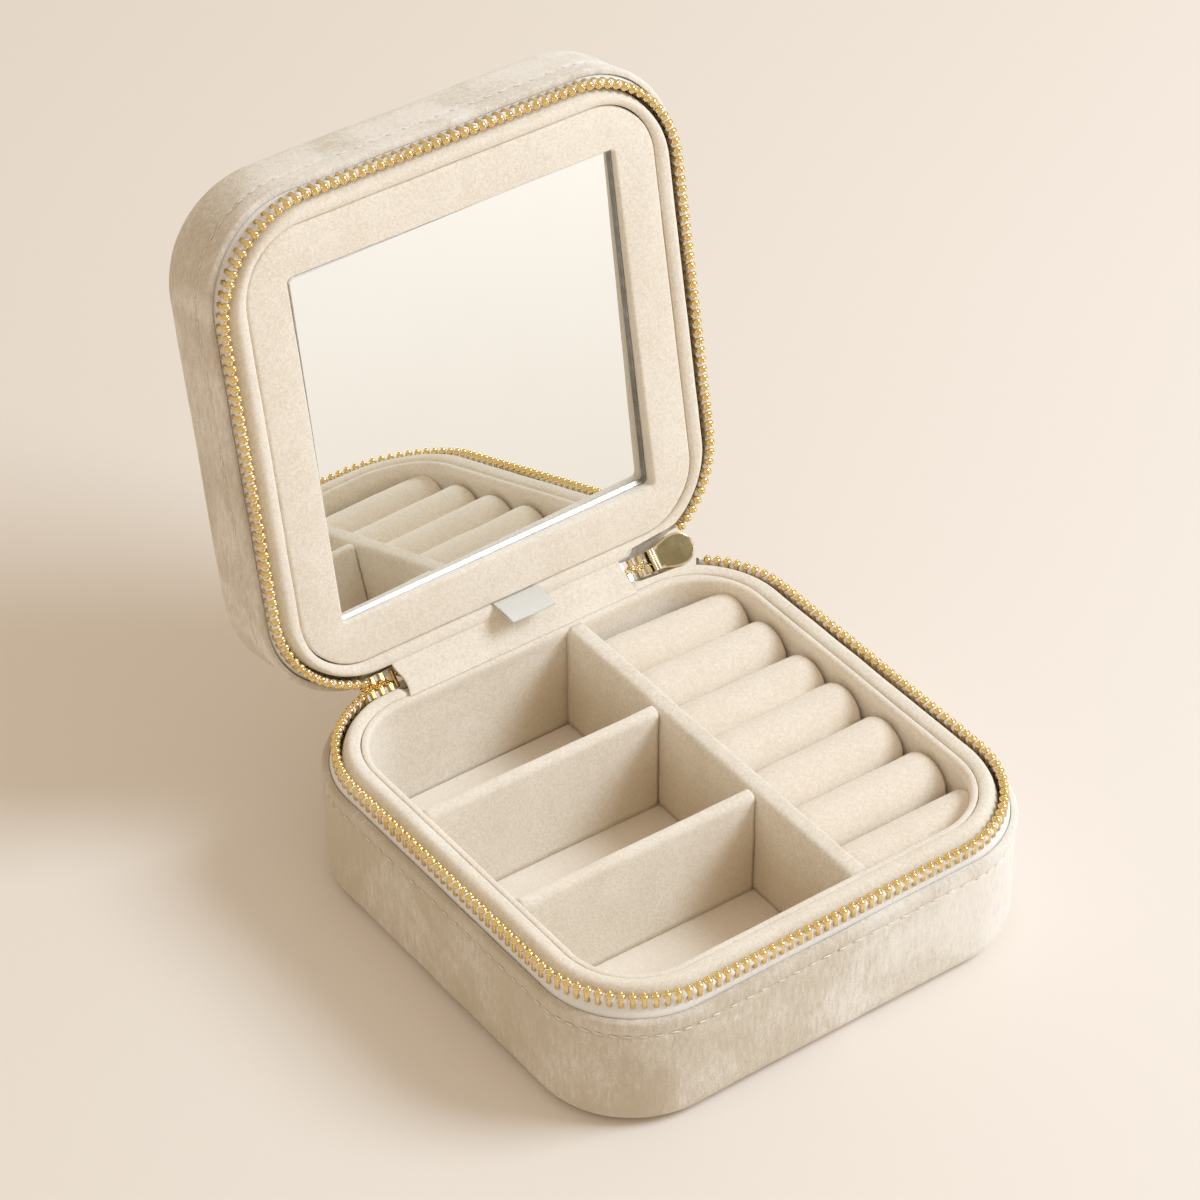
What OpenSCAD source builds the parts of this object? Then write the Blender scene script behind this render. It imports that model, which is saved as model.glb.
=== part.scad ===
// Travel jewelry case: a square velvet-covered box that a metal zip closes on all sides.
// Millimetres. X runs to the right, Y towards the hinge and Z up. The origin is on the table,
// under the middle of the base. The lid stands open, leaning back on its taut inner flap.

/* [Case] */
// Width and depth of the case over its velvet
case_w = 103.4; // [99:0.2:112]
// Height of the zip line above the table
base_h = 30; // [28:0.5:40]
// Height of the lid above the zip line
lid_h = 21.4; // [19:0.2:30]
// Corner radius of the case in plan
corner_r = 20.5; // [19:0.5:22]
// Radius of the lower edge of the base
foot_r = 4; // [2:0.5:6]
// Radius of the upper edge of the lid
crown_r = 6; // [3:0.5:8]
// Thickness of the velvet-covered board walls
shell_t = 2.5; // [2.2:0.1:2.8]
// Thickness of the bottom of the base and of the top of the lid
panel_t = 2.6; // [1.6:0.2:4]

/* [Zip] */
// Distance from the outside of the case in to the middle of the zip
zip_inset = 1.7; // [1.6:0.1:2.2]
// Corner radius of the zip in plan
zip_r = 21; // [19.5:0.5:23]
// Distance from one tooth to the next on one tape
pitch = 2; // [1.8:0.1:2.6]
// Thickness of a tooth across the tape
tooth_t = 1.8; // [1.4:0.1:2]
// Length of a tooth's legs down the tape where the zip stays closed
leg_l = 1.1; // [0.9:0.05:1.15]
// Length of a tooth's legs down the tape on the two open rows
row_leg_l = 2.1; // [1.1:0.05:2.3]
// Width of a tooth's legs along the tape
leg_w = 1.1; // [0.8:0.1:1.4]
// How far a tooth's head reaches past the zip line
head_reach = 0.4; // [0.3:0.05:0.45]
// Thickness of the woven tape
tape_t = 0.5; // [0.4:0.1:0.7]
// Distance from the zip line to the edge of the velvet
edge_gap = 3.6; // [3.2:0.1:3.8]
// Depth of tape held under the edge of the velvet
tape_hold = 2.4; // [1.6:0.2:4]

/* [Rims] */
// Width of the padded collar inside the zip of the base
base_collar_t = 2.45; // [2:0.05:3]
// Width of the padded collar inside the zip of the lid
lid_collar_t = 3.55; // [3:0.05:4.5]
// Distance from the zip line to the face of each collar
collar_gap = 0.3; // [0.2:0.05:0.6]
// Thickness of the inner wall of the base, which is also the width of its lip
lining_t = 2.5; // [1.8:0.1:3]
// Corner radius of the space inside the base
tray_r = 13.8; // [10:0.2:16]

/* [Compartments] */
// Thickness of the velvet-covered board on the floor
floor_t = 2.8; // [1.6:0.2:4]
// Distance from the zip line down to the top of the dividers
divider_drop = 2; // [1:0.5:6]
// Thickness of the long divider
long_t = 4; // [3:0.5:5]
// Place of the long divider from the middle of the case
long_x = 10.1; // [6:0.1:14]
// Thickness of each short divider
short_t = 2.9; // [2:0.1:4]
// Place of the short divider nearer the hinge
back_y = 15.2; // [12:0.1:20]
// Place of the short divider nearer the front
front_y = -13.9; // [-20:0.1:-10]

/* [Ring rolls] */
// Number of rolls
roll_count = 7; // [6:7]
// Distance from one roll to the next
roll_step = 12.05; // [11.6:0.05:12.1]
// Shift of all the rolls towards the hinge
roll_shift = 1; // [0:0.1:1]
// Gap left between neighbouring rolls
roll_gap = 0.35; // [0.3:0.05:1]
// Distance from the zip line down to the top of the rolls
roll_drop = 3.5; // [2.5:0.5:6]
// Rounding of the free end of a roll
roll_end_r = 4.5; // [2:0.5:5]

/* [Mirror] */
// Corner radius of the mirror panel
panel_r = 13; // [10:0.5:16]
// Distance from the zip line back to the face of the mirror panel
panel_gap = 0.9; // [0.5:0.1:2]
// Width of the opening in the frame
open_w = 72; // [60:1:76]
// Depth of the opening in the frame, from hinge to front
open_d = 71; // [60:1:76]
// Thickness of the velvet in front of the glass
frame_t = 2.2; // [1.5:0.1:3]
// Thickness of the glass
glass_t = 2; // [1.5:0.5:3]
// How far the frame covers the glass on each side
glass_lap = 2; // [1:0.5:4]
// Thickness of the board behind the glass
back_t = 1.8; // [1:0.2:3]
// Thickness of the lining behind the mirror panel
lid_lining_t = 2; // [1.2:0.2:3]
// Width of the ribbon tab
ribbon_w = 10; // [6:1:14]
// How far the ribbon tab stands out
ribbon_l = 6.4; // [4:0.2:9]
// Place of the ribbon tab from the middle of the case
ribbon_x = 0.8; // [-10:0.2:10]

/* [Hinge] */
// Height of the hinge line above the zip line
hinge_lift = 1.5; // [1.4:0.1:1.8]
// Width of the inner flap
flap_w = 52; // [40:1:54]
// Place of the flap from the middle of the case
flap_x = -1; // [-4:0.5:1]
// Thickness of the flap
flap_t = 0.7; // [0.5:0.1:0.9]
// Height of the flap's upper seam above the hinge line
flap_rise = 4.3; // [3.8:0.1:4.5]
// Share of the lid's opening by which the closed chain leans
lean_share = 0.45; // [0.4:0.01:0.5]
// Length of the brass box at the left end of the chain
box_l = 4; // [3:0.5:5]

/* [Slider] */
// Length of the slider
slider_l = 9.4; // [8.6:0.1:9.6]
// Half the width of the slider at its rear mouth
mouth_w = 2.35; // [2.3:0.05:2.6]
// Half the width of the slider at its widest
nose_w = 3.3; // [3:0.1:3.4]
// Thickness of each plate of the slider
plate_t = 0.8; // [0.6:0.1:0.9]
// Place of the slider's mouth along the hinge
mouth_x = 32.7; // [32:0.1:34]
// Turn of the slider, as the zip starts round the corner
slider_turn = 10; // [6:1:12]
// How far the slider runs back over the closed chain
travel = 3; // [1:0.5:4]
// Height of the bail over the outer plate
bail_h = 2.5; // [2.3:0.1:2.8]
// Radius of the bar of the bail
bail_r = 0.55; // [0.45:0.05:0.6]
// Length of the pull below the bail
pull_l = 20; // [14:1:22]
// Width of the pull
pull_w = 5; // [4:0.5:6]
// Thickness of the pull
pull_t = 1; // [0.8:0.1:1.2]

/* [Hidden] */
$fn = 48;
// clearances: between wrapped boards, across a joint, and around the pull's pivot
fit = 0.2;
run = 0.3;
pivot_gap = 0.2;
// how far the lid is open from shut, and the lean of the chain between lid and base
lid_open = 101;
chain_lean = lean_share * lid_open;

// outlines in plan: half the width, and the distance of the corner centre from the middle
half = case_w / 2;
shell_c = half - corner_r;
shell_in = half - shell_t;
zip_half = half - zip_inset;
zip_c = zip_half - zip_r;
rebate_half = zip_half + tape_t / 2 + fit;
collar_out = min(shell_in - fit, zip_half - tooth_t / 2 - fit);
collar_in = collar_out - base_collar_t;
lining_out = collar_in - fit;
tray_half = lining_out - lining_t;
tray_c = tray_half - tray_r;
lid_collar_in = collar_out - lid_collar_t;
panel_half = lid_collar_in - run;
panel_c = panel_half - panel_r;

// heights
base_edge = base_h - edge_gap;
lid_edge = base_h + edge_gap;
lid_top = base_h + lid_h;
floor_z = panel_t + fit + floor_t;
divider_z = base_h - divider_drop;
frame_z = base_h + panel_gap;
glass_z = frame_z + frame_t;
back_z = glass_z + glass_t + 2 * fit;
lining_z = back_z + back_t + fit;

// ring rolls
roll_r = (roll_step - roll_gap) / 2;
roll_z = base_h - roll_drop - roll_r;
roll_x0 = long_x + long_t / 2 + run;
roll_x1 = tray_half - 2 * run;

// teeth: the head is narrower than half a pitch, so that two rows mesh
head_w = pitch / 2 - 0.2;
neck = head_reach + 0.1;
bridge_t = 0.3;
tape_top = neck + bridge_t + 0.1;
leg_end = neck + bridge_t + leg_l;
row_leg = min(row_leg_l, edge_gap - neck - bridge_t - fit);

// the zip's run, measured along its middle from the middle of the back towards +X
quarter = 2 * zip_c + PI * zip_r / 2;
mouth_s = zip_c + zip_r * asin((mouth_x - zip_c) / zip_r) * PI / 180;
row_gap = 1.9;
tail_gap = 6.5;
row_start = mouth_s + slider_l + row_gap;
row_end = 4 * quarter - zip_c - tail_gap;
tooth_count = floor((row_end - row_start) / pitch);
chain_x0 = -zip_c + 1.6;
chain_x1 = mouth_x - 4.6;
chain_y = zip_half - 0.2;
chain_z = base_h;
strip_half = leg_end + 0.2;
// the left end of the chain, past its box
tail_x = chain_x0 - box_l - pitch - 0.4;

// the hinge line, along X
hinge_y = zip_half;
hinge_z = base_h + hinge_lift;

// the slider: half its thickness, the middle of its bail, and the eye that hangs on it
mouth_half = tooth_t / 2 + fit;
slider_half = mouth_half + plate_t;
bail_n = slider_half + bail_h;
bail_x = slider_l / 2 - 0.2;
eye_r = bail_r + pivot_gap;
eye_out = eye_r + 0.5;
eye_l = 3.2;
pull_neck = 3;

roll_names = [for (i = [1 : roll_count]) str("ring_roll_", i)];

// ---- plan outlines ----

// a square with round corners: half its width, and the place of its corner centres
module plan(h, c) {
    square([2 * h, 2 * c], center = true);
    square([2 * c, 2 * h], center = true);
    for (x = [-c, c], y = [-c, c]) translate([x, y]) circle(h - c);
}

module prism(h, c, z0, z1) {
    translate([0, 0, z0]) linear_extrude(z1 - z0) plan(h, c);
}

module tube(h0, c0, h1, c1, z0, z1) {
    translate([0, 0, z0]) linear_extrude(z1 - z0) difference() {
        plan(h0, c0);
        plan(h1, c1);
    }
}

// a profile, drawn outwards from the corner centre, carried round the square
module carried(c) {
    for (i = [0 : 3]) rotate(90 * i) translate([c, c, 0]) {
        rotate([90, 0, 0]) linear_extrude(2 * c) children();
        rotate_extrude(angle = 90) children();
    }
}

// points of a quarter circle about a centre, from one angle to another
function quarter_arc(c, r, a0, a1, n = 6) =
    [for (i = [0 : n]) c + r * [cos(a0 + (a1 - a0) * i / n), sin(a0 + (a1 - a0) * i / n)]];

// an open tray: wall, floor, rounded lower edge, and the rebate that holds the tape
module tray(h, edge_r) {
    profile = concat([[0, 0]], quarter_arc([corner_r - edge_r, edge_r], edge_r, -90, 0),
        [[corner_r, h], [rebate_half - shell_c, h], [rebate_half - shell_c, h - tape_hold - 2 * fit],
        [corner_r - shell_t, h - tape_hold - 2 * fit], [corner_r - shell_t, panel_t], [0, panel_t]]);
    carried(shell_c) polygon(profile);
    translate([-shell_c, -shell_c, 0]) cube([2 * shell_c, 2 * shell_c, panel_t]);
}

// ---- places ----

// the lid's pieces are drawn on the shut case, and this turns them open
module opened() {
    translate([0, hinge_y, hinge_z]) rotate([-lid_open, 0, 0]) translate([0, -hinge_y, -hinge_z])
        children();
}

// the closed chain: X along it, Z across it from base to lid, leaning about its own middle
module on_chain() {
    translate([0, chain_y, chain_z]) rotate([-chain_lean, 0, 0]) children();
}

// the slider: X from its rear mouth to its nose, turned inwards as the zip turns
module on_slider() {
    on_chain() translate([mouth_x, -0.3, 0]) rotate([0, 0, -slider_turn]) children();
}

// a point on the zip at a distance s along it: x, y and heading
function zip_at(s) = let (t = s + zip_c, k = floor(t / quarter), u = t - k * quarter,
    a = max(0, u - 2 * zip_c) / zip_r * 180 / PI,
    x = u < 2 * zip_c ? u - zip_c : zip_c + zip_r * sin(a),
    y = u < 2 * zip_c ? zip_half : zip_c + zip_r * cos(a))
    [x * cos(90 * k) + y * sin(90 * k), y * cos(90 * k) - x * sin(90 * k), -90 * k - a];

// room for the closed chain as it leans, cut from a rim between two heights
module chain_room(y0, y1, z0, z1) {
    translate([tail_x - 0.5, y0, z0]) cube([mouth_x - tail_x, y1 - y0, z1 - z0]);
}

// room for the slider as it leans about the chain and runs back over it
module slider_room(shift = [0, 0]) {
    rear = sqrt(mouth_w * mouth_w + pow(slider_half + 0.25, 2)) + fit;
    nose = sqrt(nose_w * nose_w + pow(slider_half + 1.3, 2)) + 4 * fit;
    translate([mouth_x - travel - 1, chain_y + shift[0], chain_z + shift[1]]) rotate([0, 90, 0])
        cylinder(h = slider_l + travel + 2, r1 = rear, r2 = nose);
}

// where the chain lies, seen from the lid as it opens
lid_shifts = [[0, 0], [1.2, 0.4], [1.7, 1.6]];

// the soft edge of a shell gives way where the slider sits in it
module edge_room(z0, z1) {
    translate([chain_x1 - 1, zip_c, z0]) cube([slider_l + travel + 3, half, z1 - z0]);
}

// ---- base ----

module base_shell() color([0.84, 0.79, 0.71]) difference() {
    tray(base_edge, foot_r);
    edge_room(base_edge - 0.4, base_h);
}

module base_collar() color([0.88, 0.83, 0.76]) difference() {
    tube(collar_out, zip_c, collar_in, tray_c, panel_t + fit, base_h - collar_gap);
    chain_room(chain_y - 2.75, half, base_edge, base_h);
    slider_room();
}

module base_lining() color([0.86, 0.8, 0.72])
    tube(lining_out, tray_c, tray_half, tray_c, panel_t + fit, base_h);

module floor_pad() color([0.8, 0.73, 0.64])
    prism(tray_half - fit, tray_c, panel_t + fit, floor_z - fit);

// a divider across X, with a rounded top: its two ends and its middle
module divider(length, t) {
    translate([0, -t / 2, floor_z]) cube([length, t, divider_z - t / 2 - floor_z]);
    translate([0, 0, divider_z - t / 2]) rotate([0, 90, 0]) cylinder(h = length, r = t / 2);
}

module long_divider() color([0.87, 0.82, 0.74])
    translate([long_x, fit - tray_half, 0]) rotate(90) divider(2 * (tray_half - fit), long_t);

module short_divider(y) color([0.87, 0.81, 0.73])
    translate([fit - tray_half, y, 0]) divider(tray_half + long_x - long_t / 2 - 2 * fit, short_t);

module short_divider_back() short_divider(back_y);

module short_divider_front() short_divider(front_y);

module roll_bed() color([0.75, 0.7, 0.62]) intersection() {
    translate([roll_x0, -half, floor_z])
        cube([half, 2 * half, roll_z - roll_r - run - floor_z]);
    prism(tray_half - 2 * fit, tray_c, floor_z, base_h);
}

module ring_roll(i) color([0.93, 0.87, 0.78]) intersection() {
    translate([roll_x0, roll_shift + ((roll_count + 1) / 2 - i) * roll_step, roll_z]) rotate([0, 90, 0])
        rotate_extrude() {
            square([roll_r, roll_x1 - roll_x0 - roll_end_r]);
            square([roll_r - roll_end_r, roll_x1 - roll_x0]);
            translate([roll_r - roll_end_r, roll_x1 - roll_x0 - roll_end_r]) intersection() {
                circle(roll_end_r);
                square(roll_end_r);
            }
        }
    prism(tray_half - 2 * fit, tray_c, 0, base_h);
}

// ---- zip ----

// one tooth with its head up: two legs that clamp the tape, a bridge over its edge, and the head
module tooth(leg = leg_l) {
    translate([-head_w / 2, -tooth_t / 2, -neck]) cube([head_w, tooth_t, neck + head_reach]);
    translate([-leg_w / 2, -tooth_t / 2, -neck - bridge_t]) cube([leg_w, tooth_t, bridge_t]);
    for (side = [0, 1]) mirror([0, side, 0])
        translate([-leg_w / 2, tape_t / 2 + 0.05, -neck - bridge_t - leg])
            cube([leg_w, (tooth_t - tape_t) / 2 - 0.05, leg]);
}

// a row round the open part of the zip; shift is in pitches, and the lid's heads point down
module teeth_row(shift, down) {
    step = (row_end - row_start) / tooth_count;
    for (i = [0 : tooth_count - 1]) {
        p = zip_at(row_start + (i + shift) * step);
        translate([p[0], p[1], base_h]) rotate(p[2]) mirror([0, 0, down]) tooth(row_leg);
    }
}

// the tape round the open part of the zip, from its beaded edge to under the velvet
module tape_ring(z0, z1) {
    x0 = tail_x - run;
    difference() {
        tube(zip_half + tape_t / 2, zip_c, zip_half - tape_t / 2, zip_c, z0, z1);
        translate([x0, zip_c, z0 - 1]) cube([zip_at(row_start)[0] - 1 - x0, half, z1 - z0 + 2]);
    }
}

// the tape beside the closed chain
module back_tape(z0, z1)
    translate([tail_x, zip_half - tape_t / 2, z0]) cube([chain_x1 - tail_x, tape_t, z1 - z0]);

// the strips of tape inside the closed chain
module chain_strip(length) for (side = [0, 1]) mirror([0, 0, side])
    translate([0, -tape_t / 2, tape_top]) cube([length, tape_t, strip_half - tape_top]);

// two teeth that mesh: one of the base's row and one of the lid's
module tooth_pair(x) {
    translate([x, 0, 0]) tooth();
    translate([x - pitch / 2, 0, 0]) mirror([0, 0, 1]) tooth();
}

module base_tape() color([0.86, 0.85, 0.83])
    tape_ring(base_edge - tape_hold, base_h - tape_top);

module base_teeth() color([0.83, 0.65, 0.3]) teeth_row(0.25, 0);

module hinge_tape_base() color([0.86, 0.85, 0.83])
    back_tape(base_edge - tape_hold, base_edge + 0.2);

module hinge_chain() color([0.83, 0.65, 0.3]) on_chain() {
    tooth_pair(chain_x0 - box_l - 0.7);
    for (x = [chain_x1 - 0.7 : -pitch : chain_x0 + pitch]) tooth_pair(x);
}

module hinge_chain_tape() color([0.86, 0.85, 0.83]) on_chain()
    translate([tail_x, 0, 0]) chain_strip(chain_x1 - tail_x);

module end_box() color([0.7, 0.52, 0.24]) on_chain() difference() {
    translate([chain_x0 - box_l, -tooth_t / 2 - fit / 2, -strip_half])
        cube([box_l - fit, tooth_t + fit, 2 * strip_half]);
    for (side = [0, 1]) mirror([0, 0, side])
        translate([chain_x0 - box_l - 1, -tape_t / 2 - 0.05, tape_top - 0.05])
            cube([box_l + 2, tape_t + 0.1, strip_half]);
}

module chain_end() color([0.83, 0.65, 0.3]) on_slider() for (x = [-0.8, -0.8 - pitch]) tooth_pair(x);

module chain_end_tape() color([0.86, 0.85, 0.83]) on_slider()
    translate([-2 * pitch, 0, 0]) chain_strip(2 * pitch - 0.3);

// the side of a slider plate: straight at the mouth, then hollow, then out to the nose
plate_side = [[0, mouth_w], [0.14, mouth_w], [0.28, mouth_w + 0.15], [0.44, nose_w - 0.25],
    [0.6, nose_w]];

module slider_plate() {
    polygon(concat([for (p = plate_side) [p[0] * slider_l, p[1]]],
        [for (i = [4 : -1 : 0]) [plate_side[i][0] * slider_l, -plate_side[i][1]]]));
    translate([slider_l - nose_w, 0]) circle(nose_w);
}

// the turned-in edge of a plate, from the mouth to where the rows come in
module slider_flange() {
    polygon(concat([for (p = plate_side) [p[0] * slider_l, p[1]]],
        [for (i = [4 : -1 : 0]) [plate_side[i][0] * slider_l, plate_side[i][1] - 0.25]]));
}

module slider_body() color([0.78, 0.66, 0.36]) on_slider() {
    for (side = [0, 1]) mirror([0, side, 0]) {
        translate([0, slider_half, 0]) rotate([90, 0, 0]) linear_extrude(plate_t) slider_plate();
        for (edge = [0, 1]) mirror([0, 0, edge]) translate([0, mouth_half + 0.1, 0])
            rotate([90, 0, 0]) linear_extrude(mouth_half - tape_t / 2 - 0.1) slider_flange();
        translate([0, slider_half - 0.1, -mouth_w]) cube([0.9, 0.3, 2 * mouth_w]);
    }
    translate([slider_l - 2.4, mouth_half + 0.1, 0]) rotate([90, 0, 0])
        cylinder(h = 2 * mouth_half + 0.2, r = 1.1);
    for (x = [1.2, slider_l - 2.2]) translate([x, slider_half - 0.1, -bail_r])
        cube([0.8, bail_h + bail_r + 0.1, 2 * bail_r]);
    translate([1.2, bail_n, 0]) rotate([0, 90, 0]) cylinder(h = slider_l - 2.6, r = bail_r);
}

// the pull hangs from the bail by its eye
module pull_tab() color([0.8, 0.62, 0.28])
    on_slider() translate([bail_x, bail_n, 0]) rotate([chain_lean, 0, 0]) difference() {
        union() {
            rotate([0, 90, 0]) cylinder(h = eye_l, r = eye_out, center = true);
            translate([0, pull_t / 2, 0]) rotate([90, 0, 0]) linear_extrude(pull_t) {
                polygon([[-eye_l / 2, 0], [eye_l / 2, 0], [eye_l / 2, -pull_neck],
                    [pull_w / 2, pull_w / 2 - pull_l], [-pull_w / 2, pull_w / 2 - pull_l],
                    [-eye_l / 2, -pull_neck]]);
                translate([0, pull_w / 2 - pull_l]) circle(pull_w / 2);
            }
        }
        rotate([0, 90, 0]) cylinder(h = 2 * eye_l, r = eye_r, center = true);
    }

// the flap runs from the seam inside the base's collar up to the mirror panel's seam
module hinge_flap() color([0.9, 0.85, 0.78]) {
    low = [collar_in + 0.15, base_h + 0.3];
    high = [hinge_y - 0.65 - flap_t, hinge_z + flap_rise];
    translate([flap_x - flap_w / 2, 0, 0]) rotate([90, 0, 90]) linear_extrude(flap_w)
        polygon([low, low + [flap_t, 0], high + [flap_t, 0], high]);
}

// ---- lid ----

module lid_shell() color([0.86, 0.81, 0.74]) opened() difference() {
    translate([0, 0, lid_top]) mirror([0, 0, 1]) tray(lid_h - edge_gap, crown_r);
    chain_room(zip_c, zip_half + 1, base_h, lid_edge + 0.6);
    edge_room(base_h, lid_edge + 1.8);
}

module lid_collar() color([0.88, 0.83, 0.76]) opened() difference() {
    tube(collar_out, zip_c, lid_collar_in, panel_c, base_h + collar_gap, lid_top - panel_t - fit);
    chain_room(chain_y - 1.8, half, base_h, lid_edge + 0.8);
    for (shift = lid_shifts) slider_room(shift);
}

module lid_lining() color([0.84, 0.78, 0.7]) opened() {
    top = lid_top - panel_t - fit;
    tube(panel_half, panel_c, panel_half - lid_lining_t, panel_c, lining_z, top);
    prism(panel_half - lid_lining_t, panel_c, top - lid_lining_t, top);
}

module mirror_frame() color([0.89, 0.84, 0.77]) opened() difference() {
    prism(panel_half, panel_c, frame_z, back_z - fit);
    translate([-open_w / 2, -open_d / 2, frame_z - 1]) cube([open_w, open_d, frame_t + 2]);
    translate([-open_w / 2 - glass_lap - fit, -open_d / 2 - glass_lap - fit, glass_z])
        cube([open_w + 2 * glass_lap + 2 * fit, open_d + 2 * glass_lap + 2 * fit, glass_t + 1]);
}

module mirror_glass() color([0.85, 0.88, 0.9]) opened()
    translate([-open_w / 2 - glass_lap, -open_d / 2 - glass_lap, glass_z + fit / 2])
        cube([open_w + 2 * glass_lap, open_d + 2 * glass_lap, glass_t]);

module mirror_back() color([0.7, 0.64, 0.56]) opened()
    prism(panel_half, panel_c, back_z, back_z + back_t);

module ribbon_tab() color([0.95, 0.94, 0.9]) opened()
    translate([ribbon_x - ribbon_w / 2, panel_half - 0.5, base_h + collar_gap - run - ribbon_l])
        cube([ribbon_w, 0.8, ribbon_l]);

module lid_tape() color([0.86, 0.85, 0.83]) opened()
    tape_ring(base_h + tape_top, lid_edge + tape_hold);

module lid_teeth() color([0.83, 0.65, 0.3]) opened() teeth_row(0.75, 1);

module hinge_tape_lid() color([0.86, 0.85, 0.83]) opened()
    back_tape(lid_edge + 0.7, lid_edge + tape_hold);

base_shell();
base_collar();
base_lining();
floor_pad();
long_divider();
short_divider_back();
short_divider_front();
roll_bed();
for (i = [1 : roll_count]) ring_roll(i);
base_tape();
base_teeth();
hinge_tape_base();
hinge_chain();
hinge_chain_tape();
end_box();
chain_end();
chain_end_tape();
slider_body();
pull_tab();
hinge_flap();
lid_shell();
lid_collar();
lid_lining();
mirror_frame();
mirror_glass();
mirror_back();
ribbon_tab();
lid_tape();
lid_teeth();
hinge_tape_lid();
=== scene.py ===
"""Looks of a travel jewelry case: crushed velvet outside, soft velvet inside, a brass zip and a mirror.

Lengths are written in millimetres and turned into metres where a mesh is made. The lid's pieces are made
on the shut case and then turned open about the hinge line, as the CAD does.
"""
import math
import random

import bmesh
import bpy
from mathutils import Matrix, Vector, noise
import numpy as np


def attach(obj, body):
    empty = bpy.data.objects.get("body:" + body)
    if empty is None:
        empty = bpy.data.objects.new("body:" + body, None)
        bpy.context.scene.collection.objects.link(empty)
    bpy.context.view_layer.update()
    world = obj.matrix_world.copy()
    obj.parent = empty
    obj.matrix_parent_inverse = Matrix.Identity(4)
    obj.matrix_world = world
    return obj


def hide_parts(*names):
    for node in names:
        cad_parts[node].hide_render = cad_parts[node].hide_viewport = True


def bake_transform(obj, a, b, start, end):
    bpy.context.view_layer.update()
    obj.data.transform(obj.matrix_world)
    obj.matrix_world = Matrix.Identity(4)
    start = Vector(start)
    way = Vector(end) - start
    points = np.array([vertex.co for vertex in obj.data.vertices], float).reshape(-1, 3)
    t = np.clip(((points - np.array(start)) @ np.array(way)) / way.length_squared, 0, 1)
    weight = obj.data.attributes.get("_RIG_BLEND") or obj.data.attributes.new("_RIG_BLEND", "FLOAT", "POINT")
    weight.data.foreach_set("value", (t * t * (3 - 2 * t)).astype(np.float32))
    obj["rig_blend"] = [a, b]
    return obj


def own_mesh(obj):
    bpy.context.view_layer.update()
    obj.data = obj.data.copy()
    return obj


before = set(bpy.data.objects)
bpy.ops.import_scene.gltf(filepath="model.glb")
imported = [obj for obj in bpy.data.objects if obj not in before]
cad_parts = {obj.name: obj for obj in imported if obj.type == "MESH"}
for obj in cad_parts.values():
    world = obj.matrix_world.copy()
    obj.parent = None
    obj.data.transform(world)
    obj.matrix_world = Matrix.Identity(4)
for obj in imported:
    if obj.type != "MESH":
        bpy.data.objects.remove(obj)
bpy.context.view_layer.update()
MM = 0.001

# ---- base shell ----
# A tray of board, 103 mm square with round corners, covered in crushed velvet that is drawn tight round
# the foot and folded in over the top edge. The fold is sewn down, and a shallow furrow runs round there.


class Shade:
    """A socket of a material. Arithmetic on it adds Math nodes, and node() adds any other node."""

    def __init__(self, tree, socket=None):
        self.tree, self.socket = tree, socket

    def node(self, kind, sockets=(), out=0, **settings):
        made = self.tree.nodes.new("ShaderNode" + kind)
        for name, value in settings.items():
            setattr(made, name, value)
        for name, value in dict(sockets).items():
            if isinstance(value, Shade):
                self.tree.links.new(value.socket, made.inputs[name])
            else:
                made.inputs[name].default_value = value
        return Shade(self.tree, made.outputs[out])

    def maths(self, operation, *others):
        return self.node("Math", dict(enumerate((self, *others))), operation=operation)

    def __add__(self, other):
        return self.maths("ADD", other)

    def __sub__(self, other):
        return self.maths("SUBTRACT", other)

    def __rsub__(self, other):
        return self.node("Math", {0: other, 1: self}, operation="SUBTRACT")

    def __mul__(self, other):
        return self.maths("MULTIPLY", other)

    __radd__ = __add__
    __rmul__ = __mul__

    def axis(self, index):
        """One coordinate of this place: 0 for X, 1 for Y and 2 for Z."""
        return self.node("SeparateXYZ", {0: self}, out=index)

    def between(self, low, high):
        """0 below low, 1 above high, and smooth between."""
        return self.node("MapRange", {0: self, 1: low, 2: high, 3: 0.0, 4: 1.0},
                         interpolation_type="SMOOTHSTEP")

    def mix(self, a, b):
        """Colour a where this is 0 and colour b where it is 1."""
        a, b = (end if isinstance(end, Shade) else (*end, 1.0) for end in (a, b))
        return self.node("Mix", {0: self, 6: a, 7: b}, out=2, data_type="RGBA")

    def noise(self, where, scale, detail=2.0, roughness=0.5, distortion=0.0):
        return self.node("TexNoise", {"Vector": where, "Scale": scale, "Detail": detail,
                                      "Roughness": roughness, "Distortion": distortion})

    def placed(self, scale=(1, 1, 1), turn=(0, 0, 0)):
        """Object coordinates, stretched and turned."""
        where = self.node("TexCoord", out=3)
        return self.node("Mapping", {"Vector": where, "Rotation": turn, "Scale": scale})

    def bump(self, depth, strength=1.0):
        """This height, depth metres deep, as a normal."""
        return self.node("Bump", {"Height": self, "Distance": depth, "Strength": strength})


def finish_of(name):
    """A new material, its Principled shader and a Shade to build its pattern from."""
    material = bpy.data.materials.new(name)
    material.use_nodes = True
    shader = material.node_tree.nodes["Principled BSDF"]
    return material, shader, Shade(material.node_tree)


def feed(shader, **sockets):
    """Sets the shader's sockets, by value or by link. An underscore stands for a space."""
    for name, value in sockets.items():
        socket = shader.inputs[name.replace("_", " ")]
        if isinstance(value, Shade):
            value.tree.links.new(value.socket, socket)
        else:
            socket.default_value = value


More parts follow.
